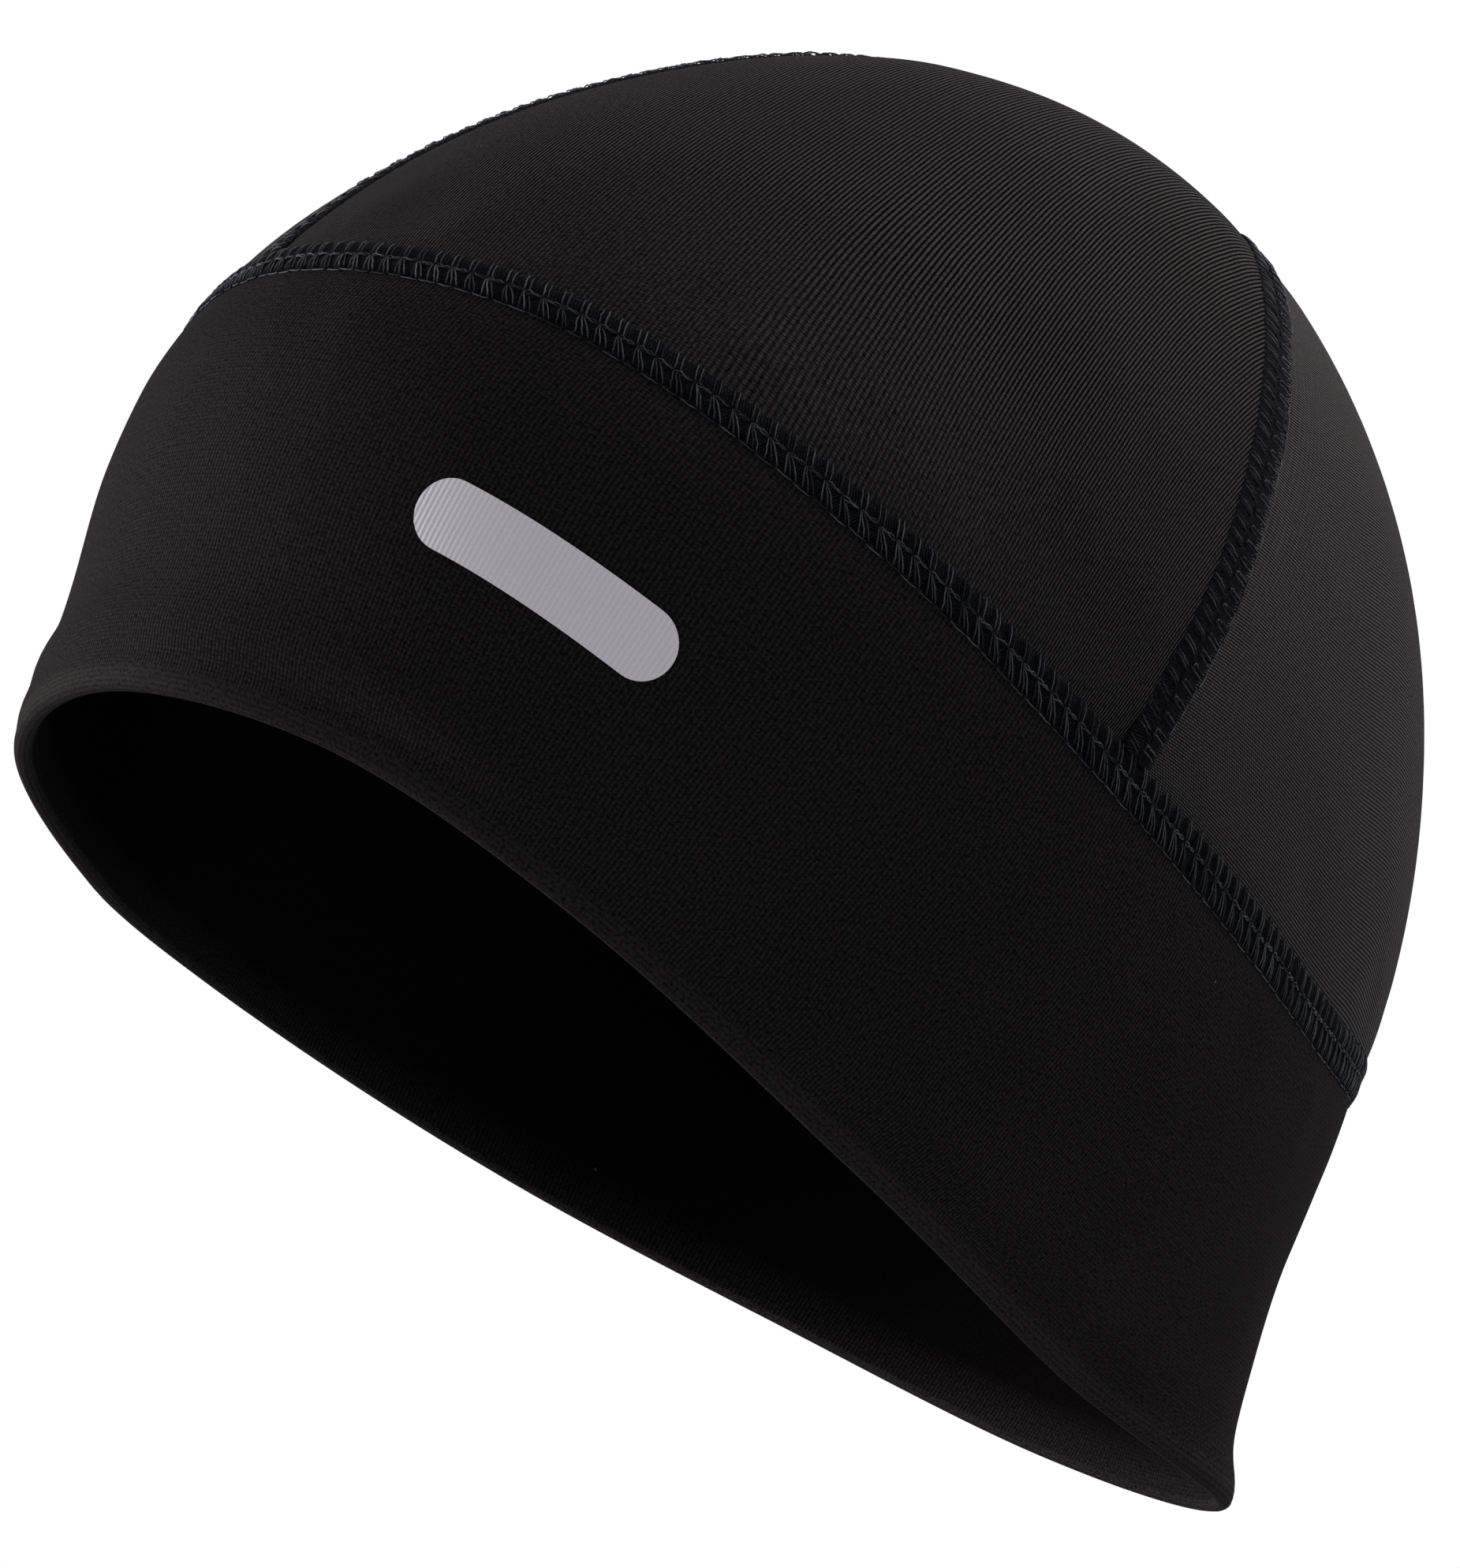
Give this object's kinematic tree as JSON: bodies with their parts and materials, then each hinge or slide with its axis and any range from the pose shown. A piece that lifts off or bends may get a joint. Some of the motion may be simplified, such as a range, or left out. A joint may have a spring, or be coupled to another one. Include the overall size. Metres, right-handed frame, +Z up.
{
  "type": "helmet liner cap",
  "caption": "Close-fitting stretch knit cap to wear under a helmet, with a wide doubled band, a three-panel crown, flat seams and a plain reflective bar.",
  "frame": {"origin": "inside of the crown's top, where the cap sits on the head", "axes": "+Z up the crown, -Y to the front of the cap, +X to the wearer's left"},
  "size_m": [0.1597, 0.1998, 0.1324],
  "materials": {
    "band_fabric": "warm charcoal, nearly black fine ribbed stretch knit, soft sheen",
    "crown_fabric": "warm charcoal, nearly black fine ribbed stretch knit, single layer",
    "seam_thread": "blue-black fluffy cover thread of a flat seam",
    "reflective_print": "light grey reflective print, satin"
  },
  "bodies": {
    "root": {"band": "band_fabric", "crown_centre": "crown_fabric", "crown_side_left": "crown_fabric", "crown_side_right": "crown_fabric", "band_seam": "seam_thread", "panel_seam_left": "seam_thread", "panel_seam_right": "seam_thread", "reflective_bar": "reflective_print"}
  },
  "joints": []
}
